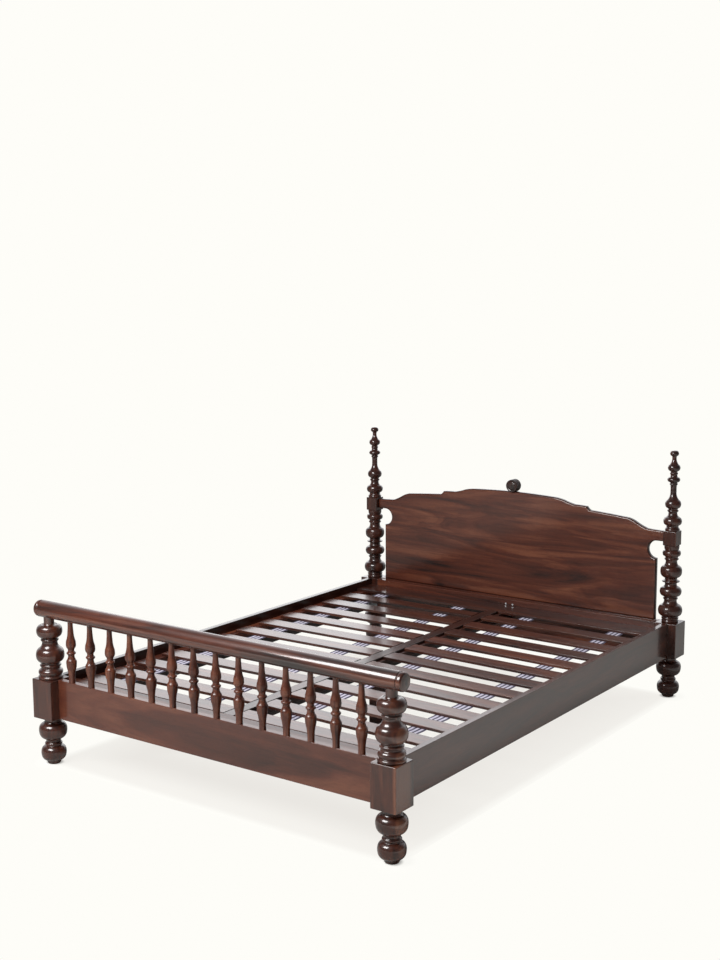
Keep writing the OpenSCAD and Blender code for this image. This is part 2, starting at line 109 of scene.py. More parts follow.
def add(tree, kind, inputs=None, stops=(), **settings):
    """Adds one node with its settings. inputs holds constants, or (node, output) pairs to link.
    stops holds the (place, linear colour) pairs that a colour ramp runs through."""
    node = tree.nodes.new(kind)
    for name, value in settings.items():
        setattr(node, name, value)
    for key, value in (inputs or {}).items():
        if isinstance(value, tuple) and value and isinstance(value[0], bpy.types.Node):
            tree.links.new(value[0].outputs[value[1]], node.inputs[key])
        else:
            node.inputs[key].default_value = value
    if stops:
        marks = node.color_ramp.elements
        while len(marks) < len(stops):
            marks.new(0.5)
        for mark, (place, rgb) in zip(marks, stops):
            mark.position, mark.color = place, rgba(rgb)
    return node


def new_material(name):
    """An empty node material with its node tree and output, ready for a shader."""
    m = bpy.data.materials.new(name)
    m.use_nodes = True
    m.node_tree.nodes.clear()
    return m, m.node_tree, add(m.node_tree, "ShaderNodeOutputMaterial")


def rgba(rgb):
    """A linear colour with full opacity."""
    return (*rgb, 1.0)


def tone(dark, red, pale, bright=1.0):
    """The wood's stops from its dark lines to its palest layers. dark, red and pale are the
    places where the three wood colours stand, with the blend of the first two halfway between
    them. All the colours are times bright."""
    c = colours()
    mid = [(a + b) / 2 for a, b in zip(c.growth_lines, c.heartwood)]
    stops = [(dark, c.growth_lines), ((dark + red) / 2, mid), (red, c.heartwood),
             (pale, c.sapwood)]
    return [(place, tuple(min(1.0, bright * v) for v in rgb)) for place, rgb in stops]


def rosewood(name, grain, tones, figure_mm=55, along=9, swirl=1.1, ring_mm=9, rings=0.2,
             streak=0.35, pith=(0, 0, 0), oval=None, shift=(0, 0, 0), face=None, edge=0.4,
             coat=1.0, coat_rough=0.06, rough=0.4, spec=0.3, sink=0.05, detail=4.0,
             drift=0.05):
    """Rosewood under clear varnish, sawn or turned. grain is the axis that the fibres follow.
    Growth layers round the pith, a line along the grain, give the eye wide bands where the board
    is cut along them and close dark lines where it is cut across. A slow figure darkens long
    patches, open pores make short dark dashes, and the polished varnish mirrors the studio.
    oval is one large patch with the growth layers round it: its middle, its half sizes and its
    weight, which is below zero for a pale one. face is the axis that a board's faces look along.
    Its edges, the faces that look another way, have their colour times edge, and more varnish."""
    m, t, out = new_material(name)
    axis = "XYZ".index(grain)
    coords = add(t, "ShaderNodeTexCoord")
    place = add(t, "ShaderNodeMapping", {"Vector": (coords, "Object"), "Location": shift})

    def stretched(per_m, ratio):
        """The place scaled to so many features a metre across the grain, and fewer along it."""
        scale = [per_m] * 3
        scale[axis] = per_m / ratio
        return add(t, "ShaderNodeMapping", {"Vector": (place, "Vector"), "Scale": scale})

    layers = add(t, "ShaderNodeTexNoise",
                 {"Vector": (stretched(1000 / figure_mm, along), "Vector"), "Scale": 1.0,
                  "Detail": detail, "Roughness": 0.5, "Distortion": swirl})
    # The pith is a long line, so places along the grain hardly change the distance to it
    across = [1.0] * 3
    across[axis] = 0.035
    if oval:
        (cx, cy, cz), (rx, ry, rz), weight = oval
        pith, across = (cx, cy, cz), [rz / rx, rz / ry, 1.0]
    from_pith = add(t, "ShaderNodeMapping",
                    {"Vector": (coords, "Object"), "Scale": across,
                     "Location": tuple(-p * a for p, a in zip(pith, across))})
    reach = add(t, "ShaderNodeVectorMath", {0: (from_pith, "Vector")}, operation="LENGTH")
    wavy = add(t, "ShaderNodeMath", {0: (layers, "Fac"), 1: drift, 2: (reach, "Value")},
               operation="MULTIPLY_ADD")
    ring = add(t, "ShaderNodeTexNoise",
               {"W": (wavy, "Value"), "Scale": 1000 / ring_mm, "Detail": 2.0,
                "Roughness": 0.6}, noise_dimensions="1D")
    mixed = add(t, "ShaderNodeMix", {0: rings, 2: (layers, "Fac"), 3: (ring, "Fac")})
    figure = (mixed, 0)
    if oval:
        # The figure waves the patch's rim, which fades out over 0.3 of its half height
        waved = add(t, "ShaderNodeMath", {0: (layers, "Fac"), 1: 0.55 * rz, 2: (reach, "Value")},
                    operation="MULTIPLY_ADD")
        inside = add(t, "ShaderNodeMapRange",
                     {"Value": (waved, "Value"), "From Min": 1.1 * rz, "From Max": 1.4 * rz,
                      "To Min": weight, "To Max": 0.0}, interpolation_type="SMOOTHSTEP")
        figure = (add(t, "ShaderNodeMath", {0: (mixed, 0), 1: (inside, "Result")},
                      operation="SUBTRACT"), "Value")
    base = add(t, "ShaderNodeValToRGB", {"Fac": figure}, stops=tones)
    # Streaks of 4 to 8 mm across and 250 mm along
    streaks = add(t, "ShaderNodeTexNoise",
                  {"Vector": (stretched(150, 36), "Vector"), "Scale": 1.0, "Detail": 4.0,
                   "Roughness": 0.65})
    streak_ramp = add(t, "ShaderNodeValToRGB", {"Fac": (streaks, "Fac")},
                      stops=[(0.34, linear("#8d7c76")), (0.52, (1, 1, 1))])
    lined = add(t, "ShaderNodeMix", {0: streak, 6: (base, "Color"), 7: (streak_ramp, "Color")},
                data_type="RGBA", blend_type="MULTIPLY")
    # Pores are 0.3 mm wide in the real wood, and drawn 1 mm wide so that they show
    pores = add(t, "ShaderNodeTexNoise",
                {"Vector": (stretched(900, 22), "Vector"), "Scale": 1.0, "Detail": 2.0})
    pore_ramp = add(t, "ShaderNodeValToRGB", {"Fac": (pores, "Fac")},
                    stops=[(0.36, linear("#8f8480")), (0.5, (1, 1, 1))])
    pored = add(t, "ShaderNodeMix", {0: 0.3, 6: (lined, 2), 7: (pore_ramp, "Color")},
                data_type="RGBA", blend_type="MULTIPLY")
    shown, cover = (pored, 2), coat
    if face:
        sides = add(t, "ShaderNodeSeparateXYZ", {"Vector": (coords, "Normal")})
        flat = add(t, "ShaderNodeMath", {0: (sides, face)}, operation="ABSOLUTE")
        sawn = add(t, "ShaderNodeMapRange", {"Value": (flat, "Value"), "From Min": 0.6,
                                             "From Max": 0.95, "To Min": 1.0, "To Max": 0.0})
        shown = (add(t, "ShaderNodeMix", {0: (sawn, "Result"), 6: (pored, 2),
                                          7: (edge, edge, edge, 1)},
                     data_type="RGBA", blend_type="MULTIPLY"), 2)
        cover = (add(t, "ShaderNodeMapRange", {"Value": (sawn, "Result"), "To Min": coat,
                                               "To Max": 1.0}), "Result")
    # The varnish sinks a little over the pores
    sunk = add(t, "ShaderNodeBump", {"Height": (pores, "Fac"), "Strength": sink,
                                     "Distance": 0.0004})
    shader = add(t, "ShaderNodeBsdfPrincipled",
                 {"Base Color": shown, "Roughness": rough, "Normal": (sunk, "Normal"),
                  "Specular IOR Level": spec, "Coat Weight": cover, "Coat Roughness": coat_rough,
                  "Coat IOR": 1.5, "Coat Normal": (sunk, "Normal")})
    t.links.new(shader.outputs[0], out.inputs["Surface"])
    return m


def striped_webbing():
    """Woven cotton tape with four indigo stripes. Plain weave gives the eye a fine dull check
    across the stripes. The threads are 0.8 mm apart, and drawn 2 mm apart so that they show."""
    m, t, out = new_material("woven_cotton_webbing")
    uv = add(t, "ShaderNodeUVMap", uv_map="strap")
    parts = add(t, "ShaderNodeSeparateXYZ", {"Vector": (uv, "UV")})
    # Four stripes from edge to edge: the place across, in stripe pitches, folded round each
    pitch = (STRAP_W - sizes().stripe_w) / 3
    edge = 0.5 * sizes().stripe_w / pitch
    turns = add(t, "ShaderNodeMath", {0: (parts, "X"), 1: 1 / pitch, 2: 0.5 - edge},
                operation="MULTIPLY_ADD")
    part = add(t, "ShaderNodeMath", {0: (turns, 0)}, operation="FRACT")
    off = add(t, "ShaderNodeMath", {0: (part, 0), 1: 0.5}, operation="SUBTRACT")
    far = add(t, "ShaderNodeMath", {0: (off, 0)}, operation="ABSOLUTE")
    stripe = add(t, "ShaderNodeMapRange", {"Value": (far, 0), "From Min": edge - 0.03,
                                           "From Max": edge + 0.03})
    dyed = add(t, "ShaderNodeMix", {0: (stripe, 0), 6: rgba(colours().indigo),
                                    7: rgba(colours().cotton)}, data_type="RGBA")
    thread = add(t, "ShaderNodeTexChecker",
                 {"Vector": (uv, "UV"), "Scale": 500.0, "Color1": (1, 1, 1, 1),
                  "Color2": rgba(linear("#dddbe2"))})
    woven = add(t, "ShaderNodeMix", {0: 1.0, 6: (dyed, 2), 7: (thread, "Color")},
                data_type="RGBA", blend_type="MULTIPLY")
    fuzz = add(t, "ShaderNodeTexNoise", {"Vector": (uv, "UV"), "Scale": 700.0, "Detail": 2.0})
    raised = add(t, "ShaderNodeBump", {"Height": (fuzz, "Fac"), "Strength": 0.3,
                                       "Distance": 0.0005})
    shader = add(t, "ShaderNodeBsdfPrincipled",
                 {"Base Color": (woven, 2), "Roughness": 0.9, "Normal": (raised, "Normal"),
                  "Specular IOR Level": 0.2, "Sheen Weight": 0.2})
    t.links.new(shader.outputs[0], out.inputs["Surface"])
    return m


def zinc_plate():
    """Pressed steel with bright zinc plating. The plating gives a cool shine with faint cloudy
    patches of 6 mm, where it took up the bath unevenly."""
    m, t, out = new_material("zinc_plated_steel")
    coords = add(t, "ShaderNodeTexCoord")
    cloud = add(t, "ShaderNodeTexNoise",
                {"Vector": (coords, "Object"), "Scale": 160.0, "Detail": 3.0})
    base = add(t, "ShaderNodeValToRGB", {"Fac": (cloud, "Fac")},
               stops=[(0.3, [0.7 * v for v in colours().zinc]), (0.6, colours().zinc)])
    dull = add(t, "ShaderNodeMapRange", {"Value": (cloud, "Fac"), "To Min": 0.4, "To Max": 0.6})
    shader = add(t, "ShaderNodeBsdfPrincipled",
                 {"Base Color": (base, "Color"), "Metallic": 1.0, "Roughness": (dull, "Result")})
    t.links.new(shader.outputs[0], out.inputs["Surface"])
    return m


def paint(names, material):
    """Puts a material on CAD nodes, whose meshes stay as they are."""
    for name in names:
        mesh = NODES[name].data
        if not mesh.materials:
            mesh.materials.append(material)
        for i in range(len(mesh.materials)):
            mesh.materials[i] = material


# Surfaces

MAX_TURN = 14  # degrees that an arc turns in one step at most


def stretch(a, b, step):
    """One side of a turned member, from a to b, without b. A straight one is drawn as a line. A
    bulged one is the arc through both ends that swells out by the bulge: its radius is the half
    chord squared plus the bulge squared, over twice the bulge, and it turns through four times
    the angle whose tangent is bulge over half chord."""
    a, end = np.array(a, float), np.array(b[:2], float)
    run = end - a[:2]
    half = np.hypot(*run) / 2
    if a[2] == 0:
        k = np.arange(max(1, math.ceil(2 * half / (4 * step)))) * 1.0
        return a[:2] + (k / len(k))[:, None] * run
    r = (half ** 2 + a[2] ** 2) / (2 * a[2])
    turn = 4 * math.atan(abs(a[2]) / half)
    n = max(math.ceil(math.degrees(turn) / MAX_TURN), math.ceil(abs(r) * turn / step))
    t = (turn * (np.arange(n) / n - 0.5))[:, None]
    along = run / (2 * half)
    out = np.array([along[1], -along[0]])
    return a[:2] + (half + abs(r) * np.sin(t)) * along + (r * np.cos(t) - r + a[2]) * out


def outline(points, step):
    """All stretches of an outline of [x, y, bulge] points, one after the other, and its end."""
    parts = [stretch(a, b, step) for a, b in zip(points, points[1:])]
    return np.concatenate(parts + [np.array([points[-1][:2]], float)])


def turned_side(members, height, foot_z, top_r):
    """The side of a turning, as points of radius and height. Each member is its height, the
    radius at its foot and the bulge of its side, and all are stretched to fill the height. Where
    two bulged members meet in a ball's widest ring, the ring is rounded up and down over 0.4 of
    the shorter one's height."""
    heights = np.array([m[0] for m in members], float)
    z = np.concatenate([[0], np.cumsum(heights)]) * height / heights.sum()
    points = [[m[1], foot_z + at, m[2]] for m, at in zip(members, z)]
    points.append([top_r, foot_z + height, 0])
    side = outline(points, sizes().turning_step / MM)
    for low, wide, high in zip(points, points[1:], points[2:]):
        if wide[0] > max(low[0], high[0]) and low[2] > 0 and wide[2] > 0:
            side = rounded_waist(side, wide[1],
                                 0.4 * min(wide[1] - low[1], high[1] - wide[1]))
    return side


def rounded_waist(side, at, reach):
    """A turned outline with the arris of one ball's widest ring sanded round. Within the reach
    of the ring the radius is a cubic of the height, which meets the rest of the outline in
    radius and slope at both of its ends."""
    near = np.flatnonzero(np.abs(side[:, 1] - at) < reach)
    (r0, z0), (r1, z1) = side[near[0] - 1], side[near[-1] + 1]
    rise = side[[near[0] - 1, near[-1] + 2]] - side[[near[0] - 2, near[-1] + 1]]
    m0, m1 = rise[:, 0] / rise[:, 1] * (z1 - z0)
    t = (side[near, 1] - z0) / (z1 - z0)
    side = side.copy()
    side[near, 0] = (r0 * (1 + 2 * t) * (1 - t) ** 2 + m0 * t * (1 - t) ** 2
                     + r1 * t ** 2 * (3 - 2 * t) + m1 * t ** 2 * (t - 1))
    return side


def walls(rings, points):
    """The four-sided faces between each ring of so many points and the next ring."""
    k, j = np.meshgrid(np.arange(rings - 1), np.arange(points), indexing="ij")
    n = (j + 1) % points
    return np.stack([k * points + j, k * points + n, (k + 1) * points + n,
                     (k + 1) * points + j], -1).reshape(-1, 4)


def ends(rings, points):
    """The two faces that close the first ring, run the other way round, and the last ring."""
    ring = np.arange(points)
    return np.stack([ring[::-1], (rings - 1) * points + ring])


def revolved(side, turns=96):
    """A closed turning about Z: every point (r, z) of the side goes round as
    (r cos a, r sin a, z), and the first and last points, on the axis, close it as poles."""
    a = np.linspace(0, 2 * np.pi, turns, endpoint=False)
    r, z = side[1:-1, 0], side[1:-1, 1]
    grid = np.stack([np.outer(r, np.cos(a)), np.outer(r, np.sin(a)),
                     np.repeat(z[:, None], turns, 1)], -1).reshape(-1, 3)
    verts = np.concatenate([[[0, 0, side[0, 1]]], grid, [[0, 0, side[-1, 1]]]])
    j = np.arange(turns)
    n = (j + 1) % turns
    last = (len(r) - 1) * turns + 1
    foot = np.stack([np.zeros(turns, int), n + 1, j + 1], -1)
    top = np.stack([np.full(turns, len(verts) - 1), last + j, last + n], -1)
    return verts, [walls(len(r), turns) + 1, foot, top]


def eased_block(lo, hi, ease):
    """A box with all its edges rounded. Its section is a rounded rectangle: four corner centres,
    each with a quarter circle of radius ease less inset. It is carried up Z, and near both ends
    the inset grows as one less the sine of an angle while the height falls as one less its
    cosine, which rounds the ends too. A narrow flat ring beside each rounding keeps the faces
    flat."""
    lo, hi = np.array(lo, float), np.array(hi, float)
    mid, half = (lo + hi) / 2, (hi - lo) / 2
    flat, quarter = 0.8, np.radians(np.linspace(0, 90, 6))
    angles = np.concatenate([[0], quarter, [np.pi / 2]])
    back = np.zeros((len(angles), 2))
    back[0, 1] = back[-1, 0] = flat
    base, away = [], []
    for sx, sy in ((1, 1), (-1, 1), (-1, -1), (1, -1)):
        ang = angles if sx * sy > 0 else angles[::-1]
        bk = back if sx * sy > 0 else back[::-1]
        base.append((half[:2] - ease - bk) * [sx, sy])
        away.append(np.stack([np.cos(ang) * sx, np.sin(ang) * sy], -1))
    base, away = np.concatenate(base), np.concatenate(away)
    inset = np.concatenate([[ease * 0.98, ease * 0.98], ease * (1 - np.sin(quarter[1:])), [0]])
    drop = np.concatenate([[0, 0], ease * (1 - np.cos(quarter[1:])), [ease + flat]])
    inset, drop = np.concatenate([inset, inset[::-1]]), np.concatenate([drop, drop[::-1]])
    z = np.where(np.arange(len(drop)) < len(drop) // 2, -half[2] + drop, half[2] - drop)
    shrink = np.zeros(len(drop))
    shrink[0] = shrink[-1] = flat
    xy = base[None] - shrink[:, None, None] * np.sign(base)[None] \
        + (ease - inset)[:, None, None] * away[None]
    m = len(base)
    verts = np.concatenate([xy, np.repeat(z[:, None, None], m, 1)], -1).reshape(-1, 3) + mid
    return verts, [walls(len(z), m), ends(len(z), m)]


def drawn_in(points, by):
    """A closed outline moved inwards. Each corner goes along the sum of its two sides' unit
    normals, times by over one plus the cosine between them, so both sides move in by the same
    amount."""
    side = np.roll(points, -1, 0) - points
    n = np.stack([-side[:, 1], side[:, 0]], -1) / np.linalg.norm(side, axis=1)[:, None]
    before = np.roll(n, 1, 0)
    cos = np.clip((n * before).sum(1), -0.6, 1)
    return points + by * (n + before) / (1 + cos)[:, None]


def eased_sheet(points, thick, front, back):
    """A flat panel of a closed outline, run counter-clockwise, with both its edges rounded. The
    outline is carried through the thickness and drawn in near each face by that edge's radius
    times one less the sine, at a depth of the radius times one less the cosine. Returned with
    its thickness on Z."""
    phi = np.radians(np.linspace(0, 90, 8))

    def edge(ease):
        inset = np.concatenate([[ease + 1.0], ease * (1 - np.sin(phi)), [0.0]])
        return list(zip(inset, np.concatenate([[0.0], ease * (1 - np.cos(phi)), [ease + 0.8]])))

    rings = edge(front) + [(i, thick - d) for i, d in reversed(edge(back))]
    m = len(points)
    verts = np.concatenate([np.c_[drawn_in(points, i), np.full(m, d)] for i, d in rings])
    return verts, [walls(len(rings), m), ends(len(rings), m)]


def piece(name, shells, material, slot, *nodes):
    """One mesh object from closed shells in millimetres. A shell is its points and a list of
    arrays of faces, each array with as many corners to a face. It stands for the CAD nodes."""
    verts, faces, start = [], [], 0
    for points, groups in shells:
        verts.append(points)
        for group in groups:
            faces += (group + start).tolist()
        start += len(points)
    mesh = bpy.data.meshes.new(name)
    mesh.from_pydata((np.concatenate(verts) * MM).tolist(), [], faces)
    mesh.polygons.foreach_set("use_smooth", np.ones(len(mesh.polygons), bool))
    mesh.set_sharp_from_angle(angle=math.radians(32))
    mesh.materials.append(material)
    obj = bpy.data.objects.new(name, mesh)
    bpy.context.scene.collection.objects.link(obj)
    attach(obj, "root")
    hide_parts(*nodes)
    return obj


def moved(shell, by):
    """A shell with every point moved by the same step."""
    return shell[0] + np.array(by, float), shell[1]


# The bed's own sizes in millimetres, as in the part's source, but for the straps: they are
# 0.1 mm thinner and lie 0.1 mm under the slats
POST_X, HEAD_Y = 785.0, 1061.0
BOARD_Z, BOARD_TOP, BLOCK_HALF = 182.0, 335.0, 50.0
SMALL_Z, SMALL_TOP, SMALL_HALF = 673.0, 736.0, 29.75
NECK_R, DOWEL_R, GALLERY_H, FINIAL_H = 32.0, 19.5, 210.0, 348.0
RAIL_Z, RAIL_R, RAIL_HALF = 599.0, 32.0, 838.0
GROOVE_IN, GROOVE_W, BUTTON = 22.0, 4.0, 9.0
BALUSTER_PITCH, BALUSTER_TOP_R = 102.923, 9.6
PANEL_TOP, PANEL_T, PANEL_SIDE, PANEL_HALF = 836.0, 22.0, 717.0, 755.25
TAB_TOP, TAB_H, NOTCH_R = 730.0, 45.0, 39.0
CREST_R, CREST_L, CREST_SINK = 29.5, 42.0, 3.0
CREST_RIB, CREST_RIM, DISH_W, DISH_DEEP = 2.0, 6.0, 9.0, 1.5
SLATS_FROM, SLATS_TO, SLAT_PITCH, SLAT_W = -941.0, 887.0, 152.333, 79.0
STRAP_TOP, STRAP_T, STRAP_INNER_X, STRAP_OUTER_X = 295.9, 1.5, 180.0, 615.0
STRAP_W = 0.065  # in metres, as the pattern and the cut size need it

# Members of the turnings, from the floor up: height, radius at the foot and bulge of the side
FOOT = [[12, 23, 1], [31, 27, 8], [27, 45.5, 6.6], [3, 31.5, -0.6], [11, 30, 3.2],
        [13, 29.5, -2.6], [34, 31, 8.4], [28, 51, 7], [12, 36.5, -1.8], [11, 30.5, -0.8]]
GALLERY = [[12, 44, 3.5], [3, 43, -1.2], [21, 42, 4.8], [10, 40, -3.4], [9, 37, 3.4],
           [7, 36, -1.5], [32, 35.5, 7.8], [24, 51, 4.6], [25, 39, -3.6], [12, 29, 4.2],
           [3, 29.5, -0.6], [25, 31, 6.6], [24, 46.7, 7.4], [3, 29, -2.5]]
HEAD = [[10, 35, 1.8], [3, 34.5, -0.6], [9, 34.5, 2.6], [4, 34, -0.8], [25, 34.5, 6.6],
        [25, 50, 5.6], [23, 37, -4], [10, 27.5, 4], [5, 27.5, -0.8], [21, 30, 6.2],
        [20, 45, 5.2], [17, 32, -3], [5, 26, -1], [5, 36, 1.8], [5, 36, -1], [9, 26, -1],
        [30, 29, 7], [22, 44.5, 5], [25, 33, -4], [10, 25.5, 4], [7, 27, -1], [13, 29, 4.4],
        [13, 37, 4.4], [5, 29.5, -0.8], [17, 31, 0.6]]
FINIAL = [[12, 30, 2], [12, 29, -2.6], [19, 27, 4.8], [17, 38, 4], [22, 27.5, -3.4],
          [11, 19, 4], [5, 20, -0.6], [20, 22, 4.8], [16, 32.5, 2.8], [38, 25.5, -4.2],
          [26, 13, -0.5], [2, 13.5, 0], [7, 16, 1.6], [5, 15, -0.8], [11, 18, 3.2],
          [10, 26.5, 3], [12, 17, -1.6], [9, 15, 2.4], [5, 14, -0.6], [15, 16, 3.6],
          [13, 25.5, 2.4], [31, 19.5, -3.2], [6, 9.3, -0.3], [12, 11, 2.8], [11, 18.2, 2.6],
          [1, 10, 0]]
BALUSTER = [[26, 12.4, -0.6], [24, 12.6, -0.5], [25, 15.8, 1.2], [14, 19, 1.8],
            [16, 16.3, -1.2], [4, 12, 0], [10, 13.5, 4], [5, 13, -0.3], [9, 11.8, -0.9],
            [15, 14.5, 2], [17, 17.8, 1.2], [30, 16, -1], [38, 11.2, -0.6]]


def turning(members, height, foot_z, top_r, turns=96):
    """A turned stretch of a post or baluster, closed flat at both ends."""
    side = turned_side(members, height, foot_z, top_r)
    return revolved(np.concatenate([[[0, foot_z]], side, [[0, foot_z + height]]]), turns)


def block(half, low, high):
    """A post's square block between two heights, with eased edges."""
    ease = sizes().block_ease / MM
    return eased_block((-half, -half, low), (half, half, high), ease)


def foot_post(side):
    """A foot post, on the left for -1: foot, block, gallery turning, and the dowel inside it
    that ends just short of the rail's middle."""
    tip = RAIL_Z - 0.3
    dowel = np.array([[0, BOARD_TOP], [DOWEL_R, BOARD_TOP], [DOWEL_R, tip], [0, tip]])
    shells = [turning(FOOT, BOARD_Z, 0, NECK_R), block(BLOCK_HALF, BOARD_Z, BOARD_TOP),
              turning(GALLERY, GALLERY_H, BOARD_TOP, DOWEL_R), revolved(dowel)]
    return [moved(s, (side * POST_X, -HEAD_Y, 0)) for s in shells]


def head_post(side):
    """A head post, on the left for -1: foot, block, turning, small block and finial."""
    shells = [turning(FOOT, BOARD_Z, 0, NECK_R), block(BLOCK_HALF, BOARD_Z, BOARD_TOP),
              turning(HEAD, SMALL_Z - BOARD_TOP, BOARD_TOP, NECK_R),
              block(SMALL_HALF, SMALL_Z, SMALL_TOP), turning(FINIAL, FINIAL_H, SMALL_TOP, 0)]
    return [moved(s, (side * POST_X, HEAD_Y, 0)) for s in shells]


class BED_OT_posts(bpy.types.Operator):
    """Adds the four turned posts with their square blocks"""
    bl_idname = "bed.posts"
    bl_label = "Posts"

    def execute(self, context):
        for k, (end, x, make) in enumerate([("foot", -1, foot_post), ("foot", 1, foot_post),
                                            ("head", -1, head_post), ("head", 1, head_post)]):
            side = "left" if x < 0 else "right"
            y = HEAD_Y * MM * (-1 if end == "foot" else 1)
            # The near post has a pale streak of sapwood down the outer corner of its block
            near = (end, side) == ("foot", "right")
            pale = ((0.845, -1.08, 0.26), (0.027, 0.055, 0.3), -0.45) if near else None
            # The tree's heart lay 12 mm to the right of a post and 50 mm behind it. The near
            # post's growth layers go round its streak instead
            wood = rosewood(f"turned_rosewood_{end}_{side}", "Z", tone(0.22, 0.58, 0.95, 0.46),
                            figure_mm=30, along=7, rings=0.1, streak=0.1,
                            pith=(x * POST_X * MM + 0.012, y + 0.05, 0), oval=pale,
                            shift=(0, 0, 0.7 * k), coat_rough=0.07, sink=0.01)
            piece(f"turned_{end}_post_{side}", make(x), wood, "turned_wood",
                  f"{end}_post_{side}")
        return {"FINISHED"}


class BED_OT_foot_rail(bpy.types.Operator):
    """Adds the round foot rail with its grooved ends"""
    bl_idname = "bed.foot_rail"
    bl_label = "Foot rail"

    def execute(self, context):
        # The groove is 0.8 mm deeper than in the part's source, and the end beyond it is up to
        # 1 mm smaller in radius
        groove = RAIL_HALF - GROOVE_IN
        half = [[RAIL_R, 0, 0], [RAIL_R, groove, -2.0], [RAIL_R - 1, groove + GROOVE_W, 0.8],
                [RAIL_R - 0.5, RAIL_HALF - BUTTON, 3], [RAIL_R - BUTTON, RAIL_HALF - 1, 0.6],
                [0, RAIL_HALF, 0]]
        right = outline(half, sizes().turning_step / MM)
        side = np.concatenate([(right * [1, -1])[::-1], right[1:]])
        verts, faces = revolved(side, 128)
        verts = verts[:, [2, 0, 1]] + [0, -HEAD_Y, RAIL_Z]
        wood = rosewood("turned_rosewood_foot_rail", "X", tone(0.28, 0.52, 0.80, 0.58),
                        figure_mm=40, along=10, rings=0.12, streak=0.3,
                        oval=((0.8, -1.098, 0.605), (0.5, 0.045, 0.035), 0.08), coat_rough=0.1,
                        sink=0.02)
        piece("turned_foot_rail", [(verts, faces)], wood, "turned_wood", "foot_top_rail")
        return {"FINISHED"}


class BED_OT_balusters(bpy.types.Operator):
    """Adds the fourteen turned balusters of the foot gallery"""
    bl_idname = "bed.balusters"
    bl_label = "Balusters"

    def execute(self, context):
        height = RAIL_Z - BOARD_TOP - math.sqrt(RAIL_R ** 2 - BALUSTER_TOP_R ** 2)
        tip = RAIL_Z - 4  # inside the rail
        pin = np.array([[0, BOARD_TOP], [BALUSTER_TOP_R, BOARD_TOP], [BALUSTER_TOP_R, tip],
                        [0, tip]])
        shells = [turning(BALUSTER, height, BOARD_TOP, BALUSTER_TOP_R, 48), revolved(pin, 48)]
        for i in range(1, 15):
            x = (i - 7.5) * BALUSTER_PITCH
            warm = 0.56 + 0.08 * math.sin(2.4 * i)
            wood = rosewood(f"turned_rosewood_baluster_{i:02d}", "Z",
                            tone(0.22, 0.46, 0.74, warm), figure_mm=18, along=8, streak=0.2,
                            pith=(x * MM + 0.02, -1.04, 0), shift=(0.3 * i, 0, 0),
                            coat=0.4, coat_rough=0.18, sink=0.02)
            piece(f"turned_baluster_{i:02d}", [moved(s, (x, -HEAD_Y, 0)) for s in shells], wood,
                  "baluster_wood", f"baluster_{i:02d}")
        return {"FINISHED"}


class BED_OT_frame_boards(bpy.types.Operator):
    """Gives the frame boards their figured rosewood"""
    bl_idname = "bed.frame_boards"
    bl_label = "Frame boards"

    def execute(self, context):
        # The foot board was sawn along a knot's edge, which leaves one long dark oval
        paint(["foot_board"],
              rosewood("sawn_rosewood_foot_board", "X", tone(0.04, 0.47, 0.95, 0.6),
                       figure_mm=70, along=6, swirl=0.8, ring_mm=20, rings=0.22, streak=0.2,
                       drift=0.08, oval=((0.078, -1.06, 0.255), (0.475, 0.4, 0.075), 0.16),
                       coat=0.8, coat_rough=0.14))
        # The left rail's colour is darker than the right one's, as painted shade on its shaded
        # inner face beside the deck
        for side, bright in (("left", 0.18), ("right", 0.6)):
            paint([f"side_rail_{side}"],
                  rosewood(f"sawn_rosewood_side_rail_{side}", "Y", tone(0.12, 0.56, 1.0, bright),
                           figure_mm=80, along=6, rings=0.1, streak=0.12, pith=(0.9, 0, 0.2),
                           coat_rough=0.16))
        paint(["head_rail", "head_cross_rail"],
              rosewood("sawn_rosewood_head_rail", "X", tone(0.34, 0.58, 0.88, 0.9),
                       figure_mm=42, along=12, pith=(0, 1.2, 0.26), shift=(1.3, 0, 0.2),
                       coat=0.8, coat_rough=0.14))
        paint(["centre_beam"],
              rosewood("sawn_rosewood_beam", "Y", tone(0.36, 0.6, 0.9, 0.5),
                       figure_mm=30, along=14, streak=0.6, pith=(0.1, 0, 0.2), face="Z",
                       coat=0.8, coat_rough=0.18))
        paint(["side_cleat_left", "side_cleat_right"],
              rosewood("planed_rosewood_cleats", "Y", tone(0.30, 0.56, 0.90, 1.1),
                       figure_mm=30, along=14, coat=0.2, coat_rough=0.3))
        paint(["beam_ledgers", "centre_leg"],
              rosewood("planed_rosewood_ledgers", "Y", tone(0.30, 0.52, 0.80, 0.35),
                       figure_mm=35, along=10, pith=(0.2, 0, 0.1), coat=0.2, coat_rough=0.3))
        return {"FINISHED"}


